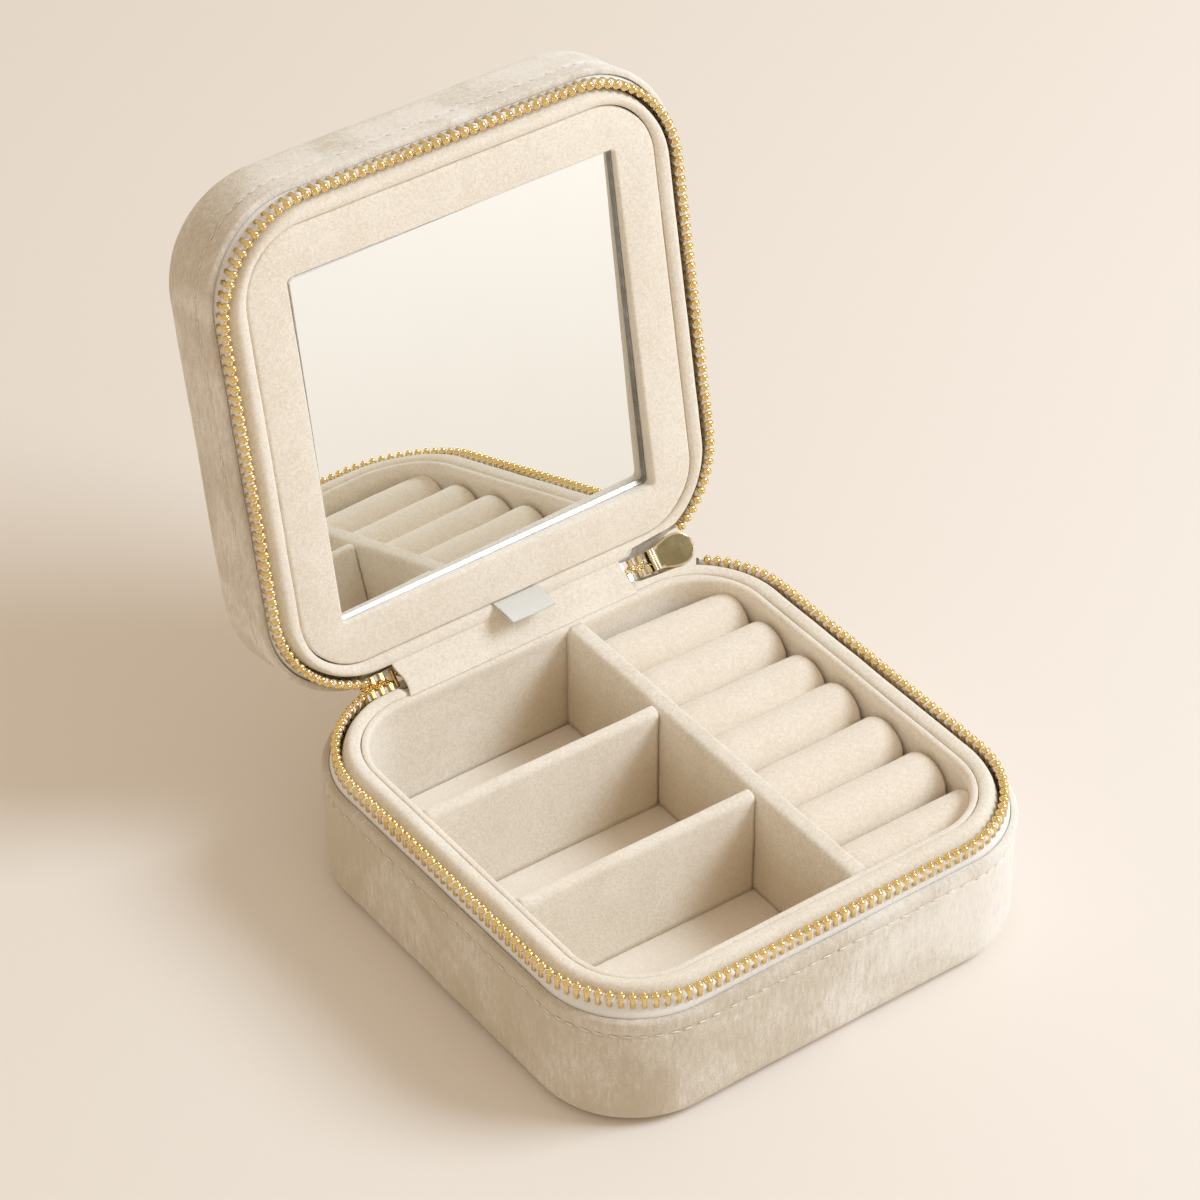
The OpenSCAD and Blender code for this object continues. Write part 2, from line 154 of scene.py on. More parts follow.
def crushed_velvet(name, turn, lift):
    """Velvet whose pile is pressed in soft patches, with short diagonal nap streaks in them. Its tone
    rises along X by turn, painted shade on its left side and painted light on its right; lift adds
    painted light all over."""
    material, shader, s = finish_of(name)
    here = s.placed()
    leaning = s.placed(scale=(1.0, 1.0, 0.3), turn=(0.5, -0.7, 0.6))
    patch = s.noise(here, 40, 3.0, 0.5, 1.0).between(0.38, 0.64)
    small = s.noise(leaning, 210, 3.0, 0.6, 0.9)
    streak = s.noise(leaning, 1200, 3.0, 0.7, 0.3)
    grain = s.noise(here, 4400, 2.0, 0.65)
    # Painted shade and light: the tone rises from left to right by turn, and lift raises it all over.
    light = here.axis(0) * turn + patch * 0.32 + small * 0.40 + streak * 0.95 + grain + (lift - 0.80)
    tone = light.between(0.0, 1.0).mix((0.63, 0.55, 0.43), (0.91, 0.868, 0.80))
    height = streak * 0.7 + grain * 0.3 + small * 0.3
    feed(shader, Base_Color=tone, Roughness=0.95, Normal=height.bump(0.0003, 0.5), Diffuse_Roughness=0.5,
         Sheen_Weight=0.15, Sheen_Roughness=0.4, Sheen_Tint=(1.0, 0.95, 0.88, 1.0),
         Specular_IOR_Level=0.1)
    return material


def ring_point(share, half, c):
    """A point of a square with round corners, at a share 0 to 1 of the way round from the middle of the
    front. Each side spends the same share on its straight part, whatever the size."""
    side, u = divmod(share * 4 + 0.5, 1)
    straight = 0.6
    if u < straight:
        x, y = (u / straight * 2 - 1) * c, half
    else:
        turn = (u - straight) / (1 - straight) * math.pi / 2
        x, y = c + (half - c) * math.sin(turn), c + (half - c) * math.cos(turn)
    a = -side * math.pi / 2 + math.pi
    return Vector((x * math.cos(a) - y * math.sin(a), x * math.sin(a) + y * math.cos(a)))


def grid(columns, rows, size=1.0):
    """A flat sheet of squares from -size to size."""
    bm = bmesh.new()
    bmesh.ops.create_grid(bm, x_segments=columns, y_segments=rows, size=size)
    return bm


def wrapped(profile, columns=360, closed=True, slack=None):
    """A strip of cloth wrapped round the case. Profile points are (half width, corner centre, height). The
    UV map holds the length round and the length across. slack(share, point) may move a point."""
    points = profile + profile[:1] if closed else profile
    bm = grid(columns, len(points) - 1)
    bm.verts.ensure_lookup_table()
    across, length = [0.0], 0.0
    for (h0, _, z0), (h1, _, z1) in zip(points, points[1:]):
        length += math.hypot(h1 - h0, z1 - z0)
        across.append(length)
    half, c, _ = profile[0]
    round_length = 8 * c + 2 * math.pi * (half - c)
    uv = bm.loops.layers.uv.new("wrap")
    for face in bm.faces:
        for loop in face.loops:
            row, column = divmod(loop.vert.index, columns + 1)
            loop[uv].uv = (column / columns * round_length * MM, across[row] * MM)
    for vert in bm.verts:
        row, column = divmod(vert.index, columns + 1)
        h, c, z = points[row]
        place = ring_point(column / columns, h, c)
        spot = Vector((place.x, place.y, z))
        vert.co = (slack(column / columns, spot) if slack else spot) * MM
    bmesh.ops.remove_doubles(bm, verts=bm.verts, dist=1e-6)
    bmesh.ops.recalc_face_normals(bm, faces=bm.faces)
    return bm


def ruffled(bm, amount, size, seed=0.0):
    """Pushes every point in and out along its normal, by up to amount, in waves of about that size."""
    bm.normal_update()
    moves = [vert.normal * noise.noise(vert.co / (size * MM) + Vector((seed, 0, 0))) * amount * MM
             for vert in bm.verts]
    for vert, move in zip(bm.verts, moves):
        vert.co += move
    return bm


def close_ends(bm):
    """Closes the open rings of a wrapped strip with a flat panel each."""
    bmesh.ops.holes_fill(bm, edges=[e for e in bm.edges if e.is_boundary])
    bmesh.ops.recalc_face_normals(bm, faces=bm.faces)


def as_mesh(name, bm):
    """Turns a bmesh into a mesh and frees it."""
    mesh = bpy.data.meshes.new(name)
    bm.to_mesh(mesh)
    bm.free()
    return mesh


def add_object(name, data):
    """Adds an object to the scene."""
    made = bpy.data.objects.new(name, data)
    bpy.context.scene.collection.objects.link(made)
    return made


def piece(name, bm, material, body, slot, *nodes, turn=None, smooth=True):
    """Makes the object of a finished mesh, and gives it its body and the nodes it stands for. Its slot is
    not used. Without smooth, its faces keep the shading they have."""
    if turn:
        bmesh.ops.transform(bm, matrix=turn, verts=bm.verts)
    mesh = as_mesh(name, bm)
    if smooth:
        mesh.shade_smooth()
    mesh.materials.append(material)
    made = add_object(name, mesh)
    if body:
        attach(made, body)
    if nodes:
        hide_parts(*nodes)
    return made


def arc(h, c, z, radius, start, end, steps=6):
    """Profile points of an arc about (h, z), in degrees, where 0 points outwards and 90 up."""
    turns = [math.radians(start + (end - start) * i / steps) for i in range(steps + 1)]
    return [(h + radius * math.cos(a), c, z + radius * math.sin(a)) for a in turns]


def wall_rows(half, c, z0, z1, rows):
    """Profile points up a wall, without its ends."""
    return [(half, c, z0 + (z1 - z0) * i / rows) for i in range(1, rows)]


case_half, case_c = 51.7, 31.2
panel_half, rebate_half, inside_half = 31.8, 50.45, 49.25
base_edge, base_furrow = 25.4, 22.0


def shell_profile(foot, foot_r, steps, furrow, edge, rebate, floor, rows, up=1):
    """Profile of a tray: out from the middle of its underside, round the foot, past the furrow to the edge,
    over it, and down inside to the floor. Rows are the steps below and above the furrow."""
    waist, edge_r, fold_r = foot + foot_r * up, 0.6, 0.3
    furrow_rows = [furrow + dz * up for dz in (-1.2, -0.9, -0.6, -0.4, -0.2, 0, 0.2, 0.4, 0.6, 0.9, 1.3)]
    return ([(panel_half, case_c, foot), (40.0, case_c, foot)]
            + arc(case_half - foot_r, case_c, waist, foot_r, -90 * up, 0, steps)
            + wall_rows(case_half, case_c, waist, furrow_rows[0], rows[0])
            + [(case_half, case_c, z) for z in furrow_rows]
            + wall_rows(case_half, case_c, furrow_rows[-1], edge - edge_r * up, rows[1])
            + arc(case_half - edge_r, case_c, edge - edge_r * up, edge_r, 0, 90 * up, 5)
            + arc(rebate_half + fold_r, case_c, edge - fold_r * up, fold_r, 90 * up, 180 * up, 3)
            + [(rebate_half, case_c, rebate), (inside_half + 0.05, case_c, rebate - 0.1 * up),
               (inside_half, case_c, floor), (panel_half, case_c, floor)])


def seam_wave(spot, seed):
    """How far the sewn row wanders up or down at a place."""
    return 0.16 * noise.noise(Vector((spot.x / 9, spot.y / 9, seed)))


def shell_slack(furrow, edge, up=1, seed=0.0):
    """How the velvet lies on a shell: sunk at the row of stitches, and a little full above and below it."""
    def lay(share, spot):
        away = (spot.z - furrow - seam_wave(spot, seed)) * up
        outward = Vector((spot.x, spot.y, 0)).normalized()
        pucker = 0.09 * noise.noise(Vector((spot.x / 1.6, spot.y / 1.6, seed + 5)))
        dip = -(0.34 + pucker) * math.exp(-(away / 0.42) ** 2)
        full = 0.16 * math.exp(-((away - 2.2) / 1.5) ** 2)
        on_wall = 1.0 if (spot.z - edge) * up < -0.2 and spot.xy.length > 45 else 0.0
        return spot + outward * (dip + full) * on_wall
    return lay


# The base gets strong painted shade on its left side and painted light on its right.
base_velvet = crushed_velvet("crushed_velvet_base", 7.0, 0.0)
profile = shell_profile(foot=0.0, foot_r=4, steps=8, furrow=base_furrow, edge=base_edge, rebate=22.9,
                        floor=2.6, rows=(14, 4))
bm = wrapped(profile, closed=False, slack=shell_slack(base_furrow, base_edge))
ruffled(bm, 0.16, 14)
ruffled(bm, 0.05, 3.5, 7)
close_ends(bm)
piece("base_shell_velvet", bm, base_velvet, "base", "velvet_outer", "base_shell")

# ---- stitches ----
# One row of ivory thread round the base and one round the lid, a few millimetres from the edge. Each stitch
# lies sunk in the pile, a little askew and not quite the same length as the next.
to_metres = Matrix.Scale(MM, 4)


def thread():
    material, shader, s = finish_of("ivory_thread")
    twist = s.noise(s.placed(), 2600, 1.0)
    tone = twist.mix((0.80, 0.76, 0.69), (0.93, 0.91, 0.87))
    feed(shader, Base_Color=tone, Roughness=0.7, Normal=twist.bump(0.0001, 0.4))
    return material


def stitches(furrow, seed):
    """A row of stitches round a shell, along its furrow."""
    rng = random.Random(int(seed) + 3)
    bm = bmesh.new()
    count, sunk, thick, long = 118, 0.13, 0.3, 1.7
    for i in range(count):
        share = (i + rng.uniform(-0.06, 0.06)) / count
        here, there = (ring_point(share + d, case_half - sunk, case_c) for d in (-0.001, 0.001))
        along = Vector((there.x - here.x, there.y - here.y, 0)).normalized()
        outward = along.cross(Vector((0, 0, 1)))
        middle = Vector(((here.x + there.x) / 2, (here.y + there.y) / 2, furrow + rng.uniform(-0.06, 0.06)))
        middle.z += seam_wave(middle, seed)
        made = bmesh.ops.create_uvsphere(bm, u_segments=6, v_segments=4, radius=0.5)["verts"]
        size = Matrix.Diagonal((thick + rng.uniform(-0.04, 0.04), thick, long + rng.uniform(-0.3, 0.25), 1))
        lean = Matrix.Rotation(rng.uniform(0.02, 0.20), 4, "X")
        lie = Matrix((outward, along.cross(outward), along)).transposed().to_4x4()
        bmesh.ops.transform(bm, verts=made,
                            matrix=to_metres @ Matrix.Translation(middle) @ lie @ lean @ size)
    return bm


sewing_thread = thread()
piece("base_stitches", stitches(base_furrow, 0.0), sewing_thread, "base", "satin")

# ---- base zip tape ----
# Woven tape in silvery white, glued between the velvet and the collar. Its upper edge is woven round a
# cord, which shows as small white puffs between the teeth that are clamped on it.
zip_half, zip_c, zip_line = 50.0, 29.0, 30.0
pitch, tape_t, base_phase, lid_phase = 2.0, 0.5, 0.25, 0.75
slider_x, slider_l = 32.7, 9.4
chain_left, chain_right = -34.4, 33.0
quarter = 2 * zip_c + math.pi * (zip_half - zip_c) / 2
row_start = zip_c + (zip_half - zip_c) * math.asin((slider_x - zip_c) / (zip_half - zip_c)) + slider_l + 1.9
row_end = 4 * quarter - zip_c - 6.5
tooth_count = int((row_end - row_start) / pitch)
tooth_step = (row_end - row_start) / tooth_count


def zip_at(s):
    """The point and the heading of the zip at a length s from the middle of the back, going clockwise."""
    side, u = divmod(s + zip_c, quarter)
    corner_r = zip_half - zip_c
    turn = max(0.0, u - 2 * zip_c) / corner_r
    if turn:
        x, y = zip_c + corner_r * math.sin(turn), zip_c + corner_r * math.cos(turn)
    else:
        x, y = u - zip_c, zip_half
    a = -side * math.pi / 2
    spot = Vector((x * math.cos(a) - y * math.sin(a), x * math.sin(a) + y * math.cos(a), zip_line))
    return spot, a - turn


def woven_tape(name):
    """Fine twill: short slanting ribs across the tape that change direction in rows."""
    material, shader, s = finish_of(name)
    uv = s.node("UVMap", uv_map="wrap")
    u, v = uv.axis(0) * 1000, uv.axis(1) * 1000
    row = v.maths("PINGPONG", 0.62)
    slant = ((u + row * 1.1) * (2 * math.pi / 0.52)).maths("SINE") * 0.5 + 0.5
    cross = (v * (2 * math.pi / 0.31)).maths("SINE") * 0.5 + 0.5
    weave = slant * 0.65 + cross * 0.35
    fuzz = s.noise(s.placed(), 1500, 2.0)
    tone = (weave * 0.8 + fuzz * 0.35).mix((0.72, 0.675, 0.61), (0.97, 0.955, 0.93))
    feed(shader, Base_Color=tone, Roughness=0.5, Normal=(weave + fuzz * 0.3).bump(0.00003, 0.8),
         Sheen_Weight=0.2, Specular_IOR_Level=0.4)
    return material


def tape_ring(low, down):
    """The tape round the open part of the zip, from low up to its corded edge; down turns it over. Below
    the teeth it leans out to the edge of the velvet, most at the corners."""
    up = -1 if down else 1
    phase = lid_phase if down else base_phase
    cord_z, cord_r = zip_line - 1.35 * up, 0.55
    inner, outer = zip_half - tape_t / 2, zip_half + tape_t / 2

    def puffed(share, spot):
        if (spot.z - zip_line) * up < -2.0:
            return spot
        s = 4 * quarter * (1 - (share + 0.5) % 1)
        along = ((s - row_start) / tooth_step - phase) % 1
        puff = 0.38 * (0.5 - 0.5 * math.cos(2 * math.pi * along)) - 0.12
        away = spot - Vector((*ring_point(share, zip_half, zip_c), cord_z))
        return spot + away.normalized() * puff if away.length < 1 else spot
    heights = [low] + [zip_line - drop * up for drop in (4.8, 4.3, 3.8, 3.4, 3.0, 2.5)]
    lean = [1.0, 1.0, 0.92, 0.7, 0.4, 0.15, 0.0]
    cord = [(zip_half + cord_r * math.cos(a), zip_c, cord_z + cord_r * math.sin(a) * up)
            for a in [math.radians(d) for d in range(-50, 231, 28)]]
    reach = rebate_half - 0.05 - outer
    faces = [[(side + reach * t, zip_c + (case_c - zip_c) * t, z) for z, t in zip(heights, lean)]
             for side in (outer, inner)]
    return wrapped(faces[0] + cord + faces[1][::-1], columns=900, slack=puffed)


def open_part(bm):
    """Cuts away the tape at the hinge, between the ends of the two open rows."""
    left, right = chain_left * MM, (zip_at(row_start)[0].x - 1) * MM
    middles = [(face, face.calc_center_median()) for face in bm.faces]
    doomed = [face for face, middle in middles if middle.y > 45 * MM and left < middle.x < right]
    bmesh.ops.delete(bm, geom=doomed, context="FACES")
    bmesh.ops.holes_fill(bm, edges=bm.edges)
    return bm


tape_weave = woven_tape("woven_zip_tape")
piece("base_tape_woven", open_part(tape_ring(23.2, False)), tape_weave, "base", "zip_tape", "base_tape")

# ---- base teeth ----
# Brass teeth, pressed one by one onto the tape: two flat legs that clamp it, a round shoulder and a small
# nib on top that locks between the teeth of the other row. Polished, with painted shade and a dark painted
# reflection under the shoulder and on the legs.


def brass(name, rough=0.12, tone=(0.90, 0.68, 0.30), painted_shade=(0.22, 0.125, 0.03), scale=900):
    """Polished brass. A float attribute on the mesh paints its light: 1 for a bright painted reflection, 0
    for painted shade and a dark painted reflection.
    """
    material, shader, s = finish_of(name)
    here = s.placed()
    cloud = s.noise(here, scale, 2.0) * 0.5 - 0.25
    # Painted light from the mesh's attribute, with a faint random cloud of tone over it.
    painted_light_and_cloud = (s.node("Attribute", attribute_name="painted_light", out=2) + cloud).between(0.0, 1.0)
    feed(shader, Base_Color=painted_light_and_cloud.mix(painted_shade, tone), Metallic=1.0,
         Roughness=s.noise(here, scale * 5, 2.0) * 0.1 + (rough - 0.04))
    return material


def soften(bm, edges, offset, segments):
    """Rounds those edges."""
    bmesh.ops.bevel(bm, geom=edges, offset=offset, segments=segments, profile=0.5, affect="EDGES",
                    material=-1)


def add_block(bm, low, high, bevel=0.0, segments=2):
    """Adds a block between two corners, with soft edges if it has a bevel."""
    block = bmesh.ops.create_cube(bm, size=1)["verts"]
    size = Vector(high) - Vector(low)
    bmesh.ops.scale(bm, verts=block, vec=size)
    bmesh.ops.translate(bm, verts=block, vec=Vector(low) + size / 2)
    if bevel:
        soften(bm, list({e for v in block for e in v.link_edges}), bevel, segments)


def tooth():
    """One tooth with its nib up and the zip line at height 0: X along the zip, Y across the tape."""
    bm = bmesh.new()
    add_block(bm, (-0.43, -0.8, -2.9), (0.43, 0.8, -0.6), 0.14, 1)
    shoulder, nib = ((0.84, 0.95, 0.64), -0.67), ((0.34, 0.50, 0.45), -0.1)
    for size, height in (shoulder, nib):
        bead = bmesh.ops.create_uvsphere(bm, u_segments=10, v_segments=7, radius=1)["verts"]
        bmesh.ops.scale(bm, verts=bead, vec=size)
        bmesh.ops.translate(bm, verts=bead, vec=(0, 0, height))
        for face in {f for v in bead for f in v.link_faces}:
            face.smooth = True
    # Painted shade and dark reflection: the top bright, the underside of the shoulder and the top of the
    # legs darkest, the rest of the legs half dark.
    painted_light = bm.verts.layers.float.new("painted_light")
    for vert in bm.verts:
        below = max(0.0, -0.75 - vert.co.z)
        vert[painted_light] = 0.5 if below > 0.65 else 1.0 - 2.0 * min(below, 0.4)
    return as_mesh("tooth", bm)


def copies(mesh, turns):
    """Copies of a mesh in millimetres, each turned and moved, in metres."""
    bm = bmesh.new()
    for turn in turns:
        before = len(bm.verts)
        bm.from_mesh(mesh)
        bm.verts.ensure_lookup_table()
        bmesh.ops.transform(bm, matrix=to_metres @ turn, verts=bm.verts[before:])
    bpy.data.meshes.remove(mesh)
    return bm


def teeth_row(phase, down, first=0, last=0):
    """A row of teeth, with a few more before its first and after its last where the rows run together."""
    over, turns = Matrix.Rotation(math.pi if down else 0, 4, "X"), []
    for i in range(-first, tooth_count + last):
        place, heading = zip_at(row_start + (i + phase) * tooth_step)
        turns.append(Matrix.Translation(place) @ Matrix.Rotation(heading, 4, "Z") @ over)
    return copies(tooth(), turns)


tooth_brass = brass("polished_brass")
piece("base_teeth_brass", teeth_row(base_phase, False, 0, 2), tooth_brass, "base", "brass_teeth",
      "base_teeth", smooth=False)

# ---- base collar ----
# A band of board and thin foam, covered in the soft inner velvet, that stands just inside the teeth. It
# is padded, so its top is domed, and it gives way at the back to the closed chain and the slider.


def soft_velvet(name, light=(0.945, 0.89, 0.80), dark=(0.81, 0.73, 0.605), mottle=0.25, shade=0.5):
    """Short even pile with a fine mottled nap and faint brushed patches. Down in the compartments and
    towards the long divider, painted shade mixes it towards a warm brown, as strongly as shade says."""
    material, shader, s = finish_of(name)
    here, leaning = s.placed(), s.placed(scale=(1, 1, 0.6), turn=(0.2, 0.4, 0.5))
    brushed = s.noise(leaning, 75, 3.0, 0.6, 0.8).between(0.3, 0.75)
    mottled = s.noise(here, 1500, 3.0, 0.65)
    pile = s.noise(here, 4400, 2.0, 0.65)
    tone = (brushed * mottle + mottled * 1.6 + pile * 1.9 - 1.33).between(0.0, 1.0)
    # Painted shade: a mask that grows low down and towards the long divider, and stops just past it.
    near, past = here.axis(0).between(-0.016, 0.012), here.axis(0).between(0.0135, 0.0125)
    painted_shade = here.axis(2).between(0.0285, 0.012) * near * past * shade
    nap = tone.mix(dark, light)
    feed(shader, Base_Color=painted_shade.mix(nap, (0.60, 0.45, 0.27)), Roughness=0.95,
         Normal=(mottled * 0.5 + pile * 0.4).bump(0.0003, 0.5), Diffuse_Roughness=0.5, Sheen_Weight=0.15,
         Sheen_Roughness=0.35, Sheen_Tint=(1.0, 0.95, 0.88, 1.0), Specular_IOR_Level=0.06)
    return material


chain_y, chain_z = 49.8, 30.0
room_x, room_l, room_r, room_flare = 28.7, 14.4, 3.75, 1.35


def make_room(bm, y, low, high):
    """Presses a rim back to the line y where the closed chain lies beside it, between two heights."""
    for vert in bm.verts:
        p = vert.co / MM
        if chain_left < p.x < chain_right and p.y > y and low < p.z < high:
            ease = min(1.0, (p.x - chain_left) / 1.5, (chain_right - p.x) / 1.5)
            vert.co.y = (p.y + (y - p.y) * ease) * MM


def slider_room(bm, shift=(0.0, 0.0)):
    """Hollows a rim round the slider, which leans about the chain and runs back over it."""
    y, z = chain_y + shift[0], chain_z + shift[1]
    for vert in bm.verts:
        along = (vert.co.x / MM - room_x) / room_l
        away = Vector((vert.co.y / MM - y, vert.co.z / MM - z))
        reach = room_r + room_flare * along
        if -0.05 < along < 1.05 and away.length < reach:
            away = away.normalized() * reach if away.length > 0.1 else Vector((-reach, 0))
            vert.co.y, vert.co.z = (y + away.x) * MM, (z + away.y) * MM


def rim(outer, inner, low, high, fall, crease, tuck, up=1):
    """Profile of a padded band: outer and inner are (half width, corner centre). It falls away on the
    outside, ends in a crease on the inside, and is tucked back to a half width below that."""
    (h0, c0), (h1, c1) = outer, inner
    crest = []
    for i in range(15):
        a = math.pi * i / 14
        across = 0.5 - 0.5 * math.cos(a)
        drop = fall if a < math.pi / 2 else crease
        crest.append((h0 + (h1 - h0) * across, c0 + (c1 - c0) * across,
                      high - drop * up * (1 - math.sin(a) ** (1.7 if a < math.pi / 2 else 0.8))))
    rows = 8
    shoulder = high - fall * up
    neck = high - (crease + 0.6) * up
    return ([(h0, c0, low + (shoulder - low) * i / rows) for i in range(rows)] + crest + [(h1, c1, neck)]
            + [(tuck, c1, neck - 1.5 * up + (low - neck + 1.5 * up) * i / rows) for i in range(rows + 1)])


inner_velvet = soft_velvet("soft_velvet")
floor_z, lining_c = 2.8, 29.95
flap_left, flap_right, flap_seat = -27.6, 26.0, 28.9
collar_out = (48.9, zip_c)
bm = wrapped(rim(collar_out, (44.97, lining_c), floor_z, 29.95, fall=3.0, crease=1.0, tuck=46.4),
             columns=320)
ruffled(bm, 0.07, 7, 3)
make_room(bm, 46.95, 26.2, 31)
slider_room(bm)
for vert in bm.verts:
    under = min(1.0, (vert.co.x / MM - flap_left) / 0.8, (flap_right - vert.co.x / MM) / 0.8)
    if under > 0 and vert.co.y > 43 * MM and vert.co.z > flap_seat * MM:
        vert.co.z += (flap_seat * MM - vert.co.z) * under
base_collar = piece("base_collar_velvet", bm, inner_velvet, "base", "velvet_inner", "base_collar")

# ---- base lining ----
# A board wall covered in soft velvet, set inside the collar. Its rounded lip is the second, narrower rim,
# and a crease runs along it where the cloth is turned over the board.
cavity, lining_out = 43.75, 46.3
outside = [(lining_out, lining_c, z) for z in (floor_z, 15, 26)]
lip = ([(44.85, lining_c, 27.6), (44.85, lining_c, 28.8)] + arc(44.5, lining_c, 28.95, 0.35, 0, 80, 3)
       + arc(44.3, lining_c, 28.4, 0.92, 80, 180, 8) + [(43.45, lining_c, 27.4), (43.65, lining_c, 26.4)])
inside = [(cavity, lining_c, 25.4 - 19.8 * i / 12) for i in range(13)] + [(cavity, lining_c, floor_z)]
bm = wrapped(outside + lip + inside, columns=320)
ruffled(bm, 0.06, 8, 11)
piece("base_lining_velvet", bm, inner_velvet, "base", "velvet_inner", "base_lining")

# ---- floor of the compartments ----
# A loose board covered in the same velvet and laid on the bottom, with its edges rounded by the cloth. Its
# pile is a little flatter and rosier than the walls', and carries only half as much painted shade.
floor_velvet = soft_velvet("floor_velvet", light=(0.98, 0.925, 0.83), dark=(0.91, 0.83, 0.72), shade=0.25)
pad_low, pad_top, pad_middle = 2.9, 5.45, 30.6
profile = ([(pad_middle, lining_c, pad_low), (43.5, lining_c, pad_low)]
           + arc(43.0, lining_c, 4.9, 0.5, 0, 90, 4)
           + [(42.0, lining_c, pad_top - 0.03), (38.0, lining_c, pad_top), (pad_middle, lining_c, pad_top)])
bm = wrapped(profile, columns=200, closed=False)
close_ends(bm)
piece("floor_pad_velvet", bm, floor_velvet, "base", "velvet_inner", "floor_pad")

# ---- dividers ----
# Three boards wrapped in velvet: a long one from front to back and two short ones that end against it. The
# cloth is turned over the top, which is rounded and, on the long one, thick and shaggy.


def in_metres(bm):
    bmesh.ops.scale(bm, verts=bm.verts, vec=(MM, MM, MM))
    return bm


def rotation(degrees, axis):
    return Matrix.Rotation(math.radians(degrees), 4, axis)


def board(length, t, low, high, seed):
    """A wrapped board along X, its middle on Y 0, with a soft round top."""
    bm = bmesh.new()
    add_block(bm, (0, -t / 2, low), (length, t / 2, high))
    top = [e for e in bm.edges if all(v.co.z > high - 0.01 for v in e.verts)
           and abs(e.verts[0].co.y - e.verts[1].co.y) < 0.01]
    round_r = 1.25
    soften(bm, top, round_r, 5)
    for axis, start, end, step in ((0, 1, length, 1.0), (2, low + 1.5, high - round_r, 1.5)):
        place = start
        while place < end - 0.2:
            normal = Vector((axis == 0, 0, axis == 2))
            bmesh.ops.bisect_plane(bm, geom=bm.verts[:] + bm.edges[:] + bm.faces[:], dist=1e-5,
                                   plane_co=normal * place, plane_no=normal)
            place += step
    return ruffled(in_metres(bm), 0.10, 6, seed)


divider_low, divider_end = 5.6, 43.55
long_x, long_t, long_high = 10.3, 4.1, 29.1
short_l, short_t, short_high = 51.6, 2.9, 28.9
long_velvet = soft_velvet("shaggy_velvet", light=(0.92, 0.865, 0.77), dark=(0.76, 0.68, 0.55), mottle=0.2)
stand = Matrix.Translation((long_x * MM, -divider_end * MM, 0)) @ rotation(89.8, "Z")
bm = board(2 * divider_end, long_t, divider_low, long_high, 21)
piece("long_divider_velvet", bm, long_velvet, "base", "velvet_inner", "long_divider", turn=stand)
for name, y, seed in (("short_divider_back", 15.8, 31), ("short_divider_front", -13.6, 41)):
    stand = Matrix.Translation((-divider_end * MM, y * MM, 0)) @ rotation(-0.9, "Z")
    bm = board(short_l, short_t, divider_low, short_high, seed)
    piece(name + "_velvet", bm, inner_velvet, "base", "velvet_inner", name, turn=stand)

# ---- ring rolls ----
# Seven tubes of velvet stuffed with wadding, laid side by side on a foam block so tightly that rings stay
# in the creases between them. Their right ends are domed against the wall.


def matt(name, grain, dark, light, depth, strength, rough, stretch=(1, 1, 1)):
    """A plain matt stuff with pores or fibres, such as foam or grey board."""
    material, shader, s = finish_of(name)
    pores = s.noise(s.placed(scale=stretch), grain, 3.0, 0.7)
    feed(shader, Base_Color=pores.mix(dark, light), Roughness=rough, Normal=pores.bump(depth, strength))
    return material


def refinish(node, material):
    """Gives another finish to a piece that keeps the CAD's shape."""
    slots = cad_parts[node].data.materials
    slots.clear()
    slots.append(material)


refinish("roll_bed", matt("foam_block", 1800, (0.62, 0.57, 0.49), (0.80, 0.75, 0.67), 0.0004, 0.6, 0.95))
roll_velvet = soft_velvet("roll_velvet", light=(0.945, 0.88, 0.785), dark=(0.83, 0.745, 0.62), mottle=0.15)
roll_r, roll_z, roll_x, roll_l, roll_step, roll_middle = 5.9, 20.65, 12.5, 31.0, 12.05, 1.0
roll_places = ((-0.4, 3.4), (-0.5, 1.4), (-0.8, 1.2), (0.2, 0.3), (-0.3, 0.0), (-0.5, 0.7), (-1.6, 0.6))


def spun(bm, line, steps):
    """Turns a line of points (x, radius) once round the X axis."""
    chain = [bm.verts.new((x, 0, radius)) for x, radius in line]
    edges = [bm.edges.new(pair) for pair in zip(chain, chain[1:])]
    bmesh.ops.spin(bm, geom=chain + edges, cent=(0, 0, 0), axis=(1, 0, 0), angle=2 * math.pi, steps=steps,
                   use_merge=True)


def mended(bm):
    """Welds the points that lie together and turns all faces outwards."""
    bmesh.ops.remove_doubles(bm, verts=bm.verts, dist=1e-5)
    bmesh.ops.recalc_face_normals(bm, faces=bm.faces)
    return bm


def ring_roll(y, seed, askew):
    """A stuffed roll along X: a closed tube, pinched a little at its sewn left end, domed at its right and
    lying a few degrees askew."""
    bm = bmesh.new()
    dome_l, dome_share, centre = 2.1, 0.45, 0.02
    line = [(0.0, centre), (0.0, 0.86), (0.5, 0.93), (1.5, 0.97), (4.0, 1.0)]
    line += [(x, 1.0) for x in range(6, 28, 2)]
    line += [(roll_l - dome_l + dome_l * math.sin(a), 1 - dome_share * (1 - math.cos(a)))
             for a in [math.radians(d) for d in range(0, 91, 10)]] + [(roll_l, centre)]
    spun(bm, [(roll_x + x, share * roll_r) for x, share in line], 40)
    turn = rotation(-askew, "Z") @ Matrix.Translation((-roll_x, 0, 0))
    bmesh.ops.transform(bm, verts=bm.verts,
                        matrix=to_metres @ Matrix.Translation((roll_x, y, roll_z)) @ turn)
    ruffled(mended(bm), 0.18, 9, seed)
    return ruffled(bm, 0.05, 2.5, seed + 3)


for i, (shift, askew) in enumerate(roll_places):
    bm = ring_roll(roll_middle + shift + (3 - i) * roll_step, 50 + i * 3, askew)
    roll = piece(f"ring_roll_velvet_{i + 1}", bm, roll_velvet, "base", "velvet_inner", f"ring_roll_{i + 1}")

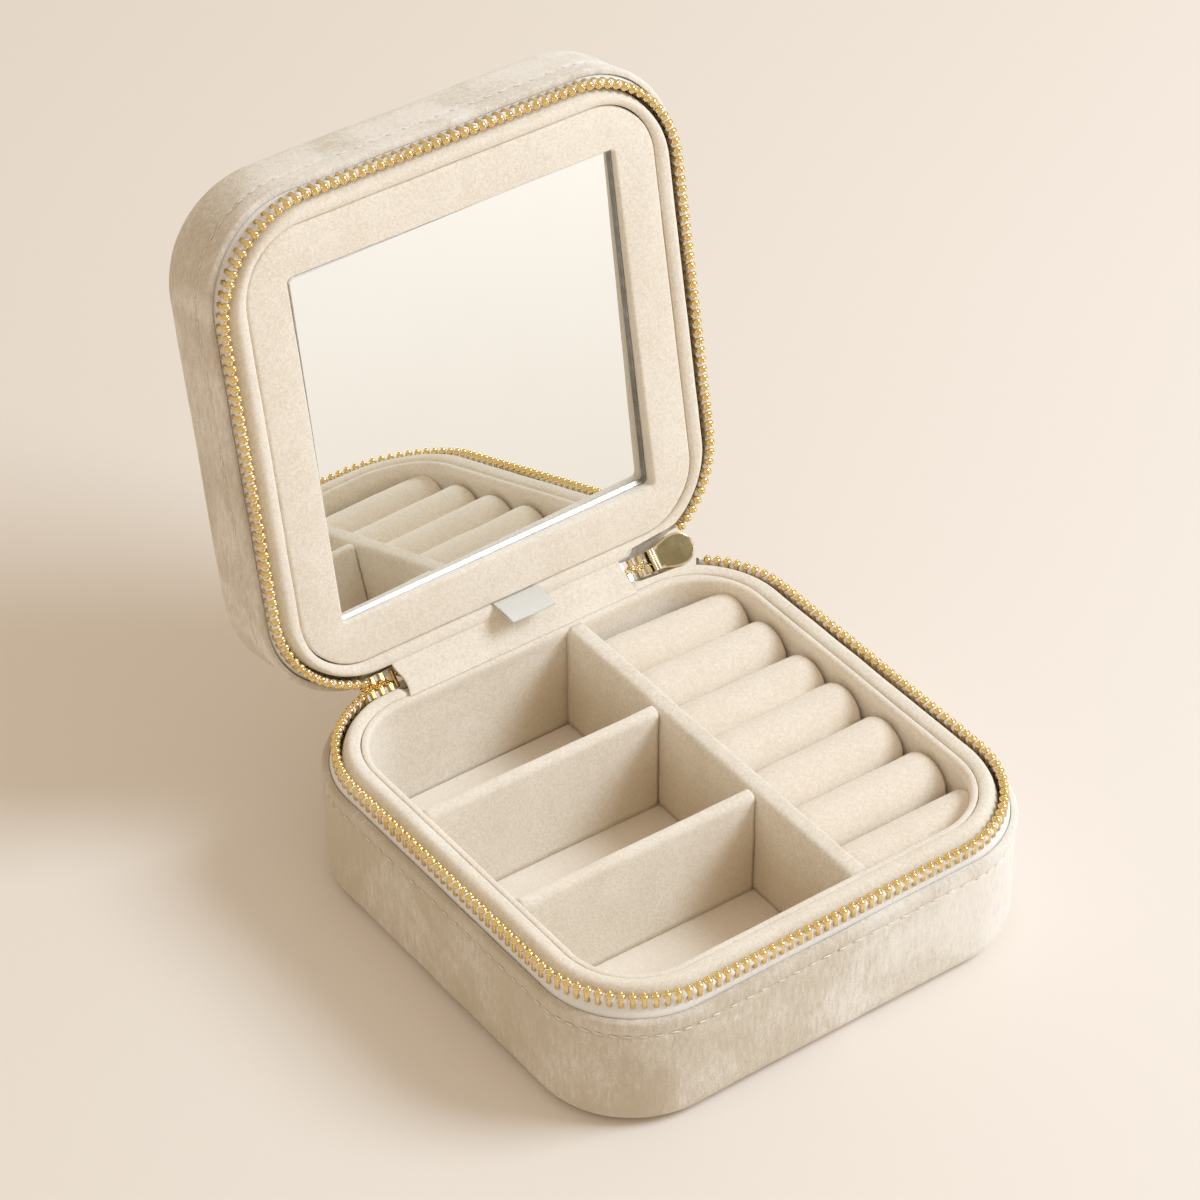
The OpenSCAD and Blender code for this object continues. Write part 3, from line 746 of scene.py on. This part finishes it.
# ---- closed chain at the hinge ----
# The last stretch of the zip is sewn shut and serves as the hinge: two rows of the same teeth that stay
# meshed, on their two tapes, with a brass retainer at the left. It leans between the base and the lid.
chain_tilt, slider_tilt, meshed_size = 45.45, 10, (1.22, 1, 0.72)
# A lighter copy of the teeth's brass: painted light on the chain, whose teeth face the lamp.
chain_brass = brass("brass_lit_copy", tone=(1.0, 0.86, 0.56), painted_shade=(0.72, 0.54, 0.26))
on_chain = Matrix.Translation((0, chain_y, chain_z)) @ rotation(-chain_tilt, "X")
on_slider = on_chain @ Matrix.Translation((slider_x, -0.3, 0)) @ rotation(-slider_tilt, "Z")


def flat_tape(name):
    """The same woven tape, with its weave laid along X."""
    material, shader, s = finish_of(name)
    here = s.placed()
    ribs = (here.axis(0) * (2000 * math.pi / 0.52)).maths("SINE") * 0.5 + 0.5
    fuzz = s.noise(here, 1500, 2.0)
    tone = (ribs * 0.5 + fuzz * 0.5).mix((0.74, 0.68, 0.58), (0.93, 0.885, 0.81))
    feed(shader, Base_Color=tone, Roughness=0.5, Normal=(ribs + fuzz).bump(0.00003, 0.6), Sheen_Weight=0.2)
    return material


chain_tape = flat_tape("woven_chain_tape")
for name in ("hinge_tape_base", "hinge_tape_lid", "hinge_chain_tape", "chain_end_tape"):
    refinish(name, chain_tape)


def meshed_teeth(places, turn):
    """Pairs of meshed teeth at those places: one of the base's row and, half a pitch back, one of the
    lid's."""
    size = Matrix.Diagonal((*meshed_size, 1))
    return copies(tooth(), [turn @ Matrix.Translation((x + shift, 0, 0)) @ rotation(over, "X") @ size
                            for x in places for shift, over in ((0, 0), (-pitch / 2, 180))])


def end_stop():
    """The retainer at the left: three clamped pairs and a bar across both rows."""
    bm = meshed_teeth((-28.6, -30.6, -32.6), on_chain)
    before = len(bm.verts)
    add_block(bm, (-27.7, -0.95, -1.8), (-26.9, 0.95, 1.8), 0.25)
    bm.verts.ensure_lookup_table()
    bmesh.ops.transform(bm, verts=bm.verts[before:], matrix=to_metres @ on_chain)
    # The bar is painted between bright and dark.
    painted_light = bm.verts.layers.float["painted_light"]
    for vert in bm.verts[before:]:
        vert[painted_light] = 0.7
    return bm


closed_teeth = [27.4 - pitch * i for i in range(27)]
piece("hinge_chain_brass", meshed_teeth(closed_teeth, on_chain), chain_brass, "zip_chain", "brass_teeth",
      "hinge_chain", smooth=False)
piece("chain_end_brass", meshed_teeth((-0.8, -2.8), on_slider), chain_brass, "zip_chain", "brass_teeth",
      "chain_end", smooth=False)
piece("end_box_brass", end_stop(), tooth_brass, "zip_chain", "brass_teeth", "end_box", smooth=False)

# ---- slider ----
# A cast slider in pale gold: two plates joined by a wedge at the nose, with turned-in edges at the mouth
# and a bail on the outer plate for the pull. The inner plate is plain, with two bands. Each plate's face is
# painted dark, a painted reflection, inside a bright painted highlight round its edge.
slider_brass = brass("pale_gold", 0.16, tone=(0.98, 0.86, 0.60), painted_shade=(0.33, 0.28, 0.15), scale=400)
nose_x, nose_r, mouth_half = 6.1, 3.3, 2.35
plate_y, plate_t = 1.9, 0.7


def plate_side(x):
    """Half the width of a plate at a distance from the mouth: straight, then hollow, then a round nose."""
    if x > nose_x:
        return math.sqrt(max(0.0, nose_r ** 2 - (x - nose_x) ** 2))
    ease = min(1.0, max(0.0, (x - 1.3) / 4.2))
    return mouth_half + (nose_r - mouth_half) * ease * ease * (3 - 2 * ease)


def thicken(bm, depth, sharp, bevel):
    """Makes a plate of a flat sheet, by pulling it out by a depth and rounding its edges."""
    made = bmesh.ops.extrude_face_region(bm, geom=bm.faces[:])["geom"]
    moved = [part for part in made if isinstance(part, bmesh.types.BMVert)]
    bmesh.ops.translate(bm, verts=moved, vec=depth)
    bmesh.ops.recalc_face_normals(bm, faces=bm.faces)
    soften(bm, [edge for edge in bm.edges if edge.calc_face_angle(0) > sharp], bevel, 3)


def plate(outwards):
    """One plate of the slider, its crowned outer face at plate_y on the slider's Y."""
    bm = grid(36, 12)
    tip, crown = slider_l - 0.005, 0.12
    for vert in bm.verts:
        u, v = vert.co.x * 0.5 + 0.5, vert.co.y
        x = slider_l * math.sin(u * math.pi / 2)
        rise = crown * (1 - v * v) * min(1.0, (slider_l - x) / 3) - crown
        vert.co = (x, (plate_y + rise) * outwards, v * plate_side(min(x, tip)))
    thicken(bm, (0, -plate_t * outwards, 0), 0.9, 0.14)
    # Painted light: the middle of the outer face dark, a painted reflection, with a bright painted highlight
    # round its edge and the sides in between.
    painted_light = bm.verts.layers.float.new("painted_light")
    for vert in bm.verts:
        x, z = vert.co.x, abs(vert.co.z)
        inside = min(plate_side(min(x, tip)) - z, abs(slider_l - x) if z < 2 else 1.0)
        face = abs(abs(vert.co.y) - plate_y) < 0.35
        vert[painted_light] = (0.12 if inside > 0.42 and x > 1.3 else 1.0) if face else 0.75
    return as_mesh("plate", bm)


def add_rod(bm, start, end, radius, segments=20, bevel=0.0):
    """Adds a round rod from one point to another."""
    start, end = Vector(start), Vector(end)
    turn = (end - start).to_track_quat("Z", "Y").to_matrix().to_4x4()
    rod = bmesh.ops.create_cone(bm, cap_ends=True, segments=segments, radius1=radius, radius2=radius,
                                depth=(end - start).length)["verts"]
    bmesh.ops.transform(bm, verts=rod, matrix=Matrix.Translation((start + end) / 2) @ turn)
    if bevel:
        edges = {e for v in rod for e in v.link_edges}
        soften(bm, [e for e in edges if e.calc_face_angle(0) > 1.2], bevel, 2)


def slider_body():
    """Both plates, two bands and a turned edge on each side of both, the wedge and the bail."""
    bm = bmesh.new()
    for outwards in (1, -1):
        one = plate(outwards)
        bm.from_mesh(one)
        bpy.data.meshes.remove(one)
    plates = len(bm.verts)
    band_y, band_half, bail_y = 1.98, 2.22, 4.4
    for x in (0.12, 0.75):
        for y in (-band_y, band_y):
            add_block(bm, (x, y - 0.16, -band_half), (x + 0.42, y + 0.16, band_half), 0.13)
    add_rod(bm, (7.0, -1.2, 0), (7.0, 1.2, 0), 1.1)
    for y in (-0.76, 0.76):
        for z in (-2.2, 2.2):
            add_block(bm, (0.05, y - 0.44, z - 0.13), (2.6, y + 0.44, z + 0.13), 0.06, 1)
    for x in (1.6, 7.6):
        add_rod(bm, (x, 1.7, 0), (x, bail_y, 0), 0.5, 16)
    add_rod(bm, (1.25, bail_y, 0), (7.95, bail_y, 0), 0.53, 20, 0.2)
    bm.verts.ensure_lookup_table()
    # The bands, turned edges, wedge and bail are painted nearly fully bright.
    painted_light = bm.verts.layers.float["painted_light"]
    for vert in bm.verts[plates:]:
        vert[painted_light] = 0.9
    return bm


slider = piece("slider_gold", slider_body(), slider_brass, "slider", "brass_slider", "slider_body",
               turn=to_metres @ on_slider)
slider.modifiers.new("weighted", "WEIGHTED_NORMAL")

# ---- pull ----
# A long drop of pale gold, stamped from sheet and waisted at the eye, which is rolled round the slider's
# bail. It swings there and hangs behind the case.


def pull():
    """The pull with its eye about X 0, hanging down along -Z."""
    bm = bmesh.new()
    eye_half, eye_in, eye_out, fillet, tip_r = 1.6, 0.68, 1.18, 0.12, 2.5
    tip = [(tip_r * math.cos(math.pi * i / 16), -17.5 - tip_r * math.sin(math.pi * i / 16))
           for i in range(17)]
    outline = [(-eye_half, -3.0), (-eye_half, -0.85), (eye_half, -0.85), (eye_half, -3.0)] + tip
    bm.faces.new([bm.verts.new((x, -0.5, z)) for x, z in outline])
    thicken(bm, (0, 1.0, 0), 1.2, 0.18)
    section = [(-eye_half, eye_in), (-eye_half, eye_out - fillet), (fillet - eye_half, eye_out),
               (eye_half - fillet, eye_out), (eye_half, eye_out - fillet), (eye_half, eye_in)]
    spun(bm, section + section[:1], 28)
    mended(bm)
    # Painted light: the flat faces of the drop a little darker than its edges and its eye.
    painted_light = bm.verts.layers.float.new("painted_light")
    for vert in bm.verts:
        vert[painted_light] = 0.7 if abs(vert.co.y) > 0.49 and vert.co.z < -1.2 else 1.0
    return bm


hung = on_slider @ Matrix.Translation((4.5, 4.4, 0)) @ rotation(chain_tilt, "X")
pull_tab = piece("pull_gold", pull(), slider_brass, "pull", "brass_slider", "pull_tab",
                 turn=to_metres @ hung)
pull_tab.modifiers.new("weighted", "WEIGHTED_NORMAL")

# ---- lid shell ----
# The same tray of board and crushed velvet as the base, upside down and less deep, with its own row of
# stitches. It stands open, leaning back about the line of the closed chain.
hinge_line = Vector((0, 50, 31.5)) * MM
opened = Matrix.Translation(hinge_line) @ rotation(-101, "X") @ Matrix.Translation(-hinge_line)
lid_top, lid_edge, lid_furrow = 51.4, 33.6, 37.9
thin_wall, thin_z = 51.05, 34.3
notch_left, notch_right, notch_z = 27, 42.6, 35.5
# The lid's copy gets gentler painted shade on its left side, and lift adds painted light all over.
lid_velvet = crushed_velvet("crushed_velvet_lid", 3.4, 0.10)
profile = shell_profile(foot=lid_top, foot_r=6, steps=10, furrow=lid_furrow, edge=lid_edge, rebate=36.3,
                        floor=48.8, rows=(6, 5), up=-1)
bm = wrapped(profile, closed=False, slack=shell_slack(lid_furrow, lid_edge, -1, 4.0))
ruffled(bm, 0.16, 15, 40)
ruffled(bm, 0.05, 3.5, 47)
close_ends(bm)
for vert in bm.verts:
    p = vert.co / MM
    if chain_left < p.x < chain_right and zip_c < p.y < 51 and p.z < thin_z:
        vert.co.y = thin_wall * MM
    if notch_left < p.x < notch_right and p.y > zip_c and p.z < notch_z:
        ease = min(1.0, (p.x - notch_left) / 2.0, (notch_right - p.x) / 2.0)
        vert.co.z += (notch_z * MM - vert.co.z) * ease
piece("lid_shell_velvet", bm, lid_velvet, "lid", "velvet_outer", "lid_shell", turn=opened)
piece("lid_stitches", stitches(lid_furrow, 4.0), sewing_thread, "lid", "satin", turn=opened)

# ---- lid zip tape and teeth ----
# The other tape and row of the same zip, glued in and clamped on as in the base. Its teeth lie half a pitch
# further on, so that the two rows lock when the lid is shut.
piece("lid_tape_woven", open_part(tape_ring(35.9, True)), tape_weave, "lid", "zip_tape", "lid_tape",
      turn=opened)
piece("lid_teeth_brass", teeth_row(lid_phase, True, 2, 1), tooth_brass, "lid", "brass_teeth", "lid_teeth",
      turn=opened, smooth=False)

# ---- lid collar ----
# The lid's padded band, a little wider than the base's, hollowed at the back where the chain and the
# slider sit while the lid opens.
panel_c = 32.05
bm = wrapped(rim(collar_out, (45.13, panel_c), 48.4, 30.2, fall=3.0, crease=1.2, tuck=45.35, up=-1),
             columns=320)
ruffled(bm, 0.07, 7, 13)
make_room(bm, 47.9, 29, 34.4)
for shift in ((0.0, 0.0), (1.2, 0.4), (1.7, 1.6)):
    slider_room(bm, shift)
lid_collar = piece("lid_collar_velvet", bm, inner_velvet, "lid", "velvet_inner", "lid_collar", turn=opened)

# ---- mirror panel ----
# A board covered in soft velvet with a square opening, the glass laid in behind it and a second board at
# the back. The cloth is turned in at the opening, and the glass's ground edge shows as a thin bright line.
panel_out, glass_c, opening_half, board_back = 45.0, 35.1, 36.05, 34.9
glass_z, glass_t, askew_back, askew_side = 33.6, 0.8, 1.15, 1.25


def squared(share, spot):
    """Makes the opening a millimetre less deep than it is wide."""
    out, square = panel_out + 0.05, 36
    inside = max(0.0, min(1.0, (out - max(abs(spot.x), abs(spot.y))) / (out - square)))
    return Vector((spot.x, spot.y * (1 - inside * 0.5 / square), spot.z))


outer_edge = ([(panel_out, panel_c, board_back), (panel_out, panel_c, 31.9)]
              + arc(panel_out - 0.7, panel_c, 31.6, 0.7, 0, -90, 5))
face_rows = [(44.3 - 7.7 * i / 8, panel_c + 3.0 * i / 8, 30.9 - 0.22 * math.sin(math.pi * i / 8))
             for i in range(1, 8)]
inner_edge = (arc(opening_half + 0.55, glass_c, 31.5, 0.6, -90, -180, 5)
              + [(opening_half, glass_c, board_back)])
bm = wrapped(outer_edge + face_rows + inner_edge, columns=320, slack=squared)
ruffled(bm, 0.05, 8, 17)
piece("mirror_frame_velvet", bm, inner_velvet, "lid", "velvet_inner", "mirror_frame", turn=opened)


def silvered():
    material, shader, s = finish_of("silvered_glass")
    smear = s.noise(s.placed(), 60, 3.0).between(0.4, 0.9)
    feed(shader, Base_Color=smear.mix((0.90, 0.915, 0.90), (0.885, 0.90, 0.885)), Metallic=1.0,
         Roughness=smear * 0.012 + 0.004)
    return material


def silver_depth(x, y):
    """The height of the silvering, at the back of the glass. The pane lies askew behind its frame, by a
    little over a degree each way."""
    back, side = (math.tan(math.radians(askew)) for askew in (askew_back, askew_side))
    return glass_z + back * (y - 35) + side * x


bm = grid(8, 8, opening_half + 0.25)
for vert in bm.verts:
    vert.co.z = silver_depth(vert.co.x, vert.co.y)
bmesh.ops.reverse_faces(bm, faces=bm.faces[:])
piece("mirror_silvering", in_metres(bm), silvered(), "lid", "mirror", "mirror_glass", turn=opened)


def ground_edge():
    """The cut edge of the glass: bright, with a dark line at the silver and another where it meets the
    cloth, and painted shade, streaked by grit, on its right side, which faces away from the lamp."""
    material, shader, s = finish_of("ground_glass_edge")
    depth = s.node("UVMap", uv_map="wrap").axis(1) * 1000
    lines = (depth * (2 * math.pi / glass_t)).maths("COSINE").between(0.70, 0.99)
    grit = s.noise(s.placed(scale=(1, 0.15, 0.15)), 2200, 3.0, 0.7)
    # Painted shade on the right side of the edge, darkened and streaked by grit.
    shaded = s.placed().axis(0).between(0.0340, 0.0352)
    tone = (lines * 0.6 + shaded * (grit * 0.6 + 0.5)).between(0.05, 1.0)
    feed(shader, Base_Color=tone.mix((0.97, 0.975, 0.985), (0.17, 0.155, 0.13)),
         Roughness=grit * 0.2 + 0.12, Specular_IOR_Level=0.8)
    return material


def glass_edge(share, spot):
    """Stands the edge on the silvering, whose depth varies."""
    spot = squared(share, spot)
    return Vector((spot.x, spot.y, spot.z + silver_depth(spot.x, spot.y)))


ground = [(opening_half - 0.15, glass_c, glass_t * i / 6 - glass_t) for i in range(7)]
bm = wrapped(ground, columns=200, closed=False, slack=glass_edge)
piece("mirror_edge", bm, ground_edge(), "lid", "mirror", turn=opened)


refinish("mirror_back", matt("grey_board", 900, (0.50, 0.46, 0.40), (0.66, 0.61, 0.54), 0.0002, 0.4, 0.9,
                             stretch=(1, 1, 0.3)))
refinish("lid_lining", inner_velvet)

# ---- hinge flap ----
# A strip of the soft velvet, folded double, sewn in at the seam below the mirror panel and glued down
# inside the rim of the base. It hides the closed chain and stops the lid.
flap_low, flap_high = Vector((0, 43.95, 29.6)), Vector((0, 50.85, 36.1))


def flap():
    """The strip from its lower seam, v 0, to its upper one, v 1, with a fold across it and a flared left
    edge."""
    bm = grid(104, 20)
    for vert in bm.verts:
        u, v = vert.co.x, vert.co.y * 0.5 + 0.5
        x = -0.8 - 0.9 * (v - 0.5) + 26.2 * u
        flare = (0.45 * math.sin(v * 2 * math.pi) - 0.7 * (1 - v) ** 4) * max(0.0, -u) ** 6
        fold = 0.22 * math.exp(-((v - 0.45) / 0.1) ** 2) - 0.6 * math.sin(v * math.pi)
        wave = 0.20 * noise.noise(Vector((x / 9, v * 1.3, 2.0)))
        out = fold + (wave - 0.1) * math.sin(v * math.pi) ** 0.6
        spot = flap_low.lerp(flap_high, v)
        vert.co = Vector((x + flare, spot.y - out * 0.76, spot.z + out * 0.65))
    thicken(bm, (0, 0.38, -0.32), 1.0, 0.15)
    return in_metres(bm)


hinge_flap = piece("hinge_flap_velvet", flap(), inner_velvet, None, "velvet_inner", "hinge_flap")
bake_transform(hinge_flap, "base", "lid", start=flap_low * MM, end=flap_high * MM)

# ---- ribbon tab ----
# A loop of pearl-white satin ribbon, folded double and sewn into the seam below the mirror panel. Its fine
# ribs run along it, and its fold stands a little open.


def satin():
    material, shader, s = finish_of("pearl_satin")
    across = s.node("UVMap", uv_map="ribbon").axis(0)
    ribs = (across * (2 * math.pi / 0.00042)).maths("SINE") * 0.5 + 0.5
    fine = s.noise(s.placed(), 2500, 2.0)
    tone = (ribs * 0.7 + fine * 0.3).mix((0.66, 0.645, 0.59), (0.80, 0.79, 0.745))
    feed(shader, Base_Color=tone, Roughness=fine * 0.15 + 0.25, Normal=ribs.bump(0.00006, 0.5),
         Sheen_Weight=0.25)
    return material


def ribbon():
    """The loop as it hangs with the lid open: out from the seam, level, and folded back under itself."""
    bm = grid(24, 40)
    half_width, half_length, turn = 5.1, 6.4, 0.06
    uv = bm.loops.layers.uv.new("ribbon")
    for face in bm.faces:
        for loop in face.loops:
            loop[uv].uv = ((loop.vert.co.x + 1) * 0.005, (loop.vert.co.y + 1) * 0.0074)
    for vert in bm.verts:
        u, v = vert.co.x, vert.co.y
        reach = 1 - max(0.0, abs(v) - turn) / (1 - turn)
        bend = math.sin(min(1.0, abs(v) / turn) * math.pi / 2)
        gap = 0.42 * math.sin(reach * math.pi * 0.86 + 0.2) + 0.08
        drop = 0.35 * reach * reach
        vert.co = Vector((1.25 + (half_width - 0.15 * reach) * u,
                          50.55 - half_length * reach - 0.3 * (1 - bend),
                          36.42 - drop + 0.12 * u * u + gap * bend * (0.35 if v > 0 else -1)))
    bmesh.ops.solidify(bm, geom=bm.faces[:], thickness=0.12)
    bmesh.ops.recalc_face_normals(bm, faces=bm.faces)
    return in_metres(bm)


ribbon_tab = piece("ribbon_tab_satin", ribbon(), satin(), "lid", "satin", "ribbon_tab")
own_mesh(ribbon_tab)

# ---- table, light and camera ----
# A plain cream table under soft light: one large softbox high on the right, and a pale warm room all
# round that fills the shade. The camera looks down at the case's left front corner.


def table_top():
    material, shader, s = finish_of("cream_table")
    tone = s.noise(s.placed(), 3.0, 2.0).mix((0.855, 0.790, 0.715), (0.875, 0.812, 0.738))
    feed(shader, Base_Color=tone, Roughness=0.9, Specular_IOR_Level=0.1)
    return material


mesh = as_mesh("table", grid(8, 8, 4))
mesh.materials.append(table_top())
table = add_object("table", mesh)

target, distance = Vector((-7.01, 11.55, 64.03)) * MM, 0.7788
bearing, height = math.radians(-36.25), math.radians(38.60)
level = math.cos(height)
back = Vector((math.sin(bearing) * level, -math.cos(bearing) * level, math.sin(height)))
lens = bpy.data.cameras.new("camera")
lens.sensor_width, lens.lens, lens.clip_start = 36.0, 129.7, 0.01
camera = add_object("camera", lens)
camera.location = target + back * distance
camera.rotation_euler = back.to_track_quat("Z", "Y").to_euler()
bpy.context.scene.camera = camera

light = bpy.data.lights.new("softbox_right", "AREA")
light.shape, light.size, light.energy, light.color = "DISK", 0.52, 9.25, (0.735, 0.855, 1.0)
lamp = add_object("softbox_right", light)
towards = Vector((0.60, -0.44, 0.66)).normalized()
lamp.location = Vector((0, 0, 0.05)) + towards * 1.1
lamp.rotation_euler = towards.to_track_quat("Z", "Y").to_euler()

world = bpy.data.worlds.new("room")
world.use_nodes = True
room = world.node_tree.nodes["Background"].inputs
room["Color"].default_value = (1.0, 0.86, 0.70, 1.0)
room["Strength"].default_value = 0.67
scene = bpy.context.scene
scene.world = world
scene.view_settings.view_transform = "Standard"
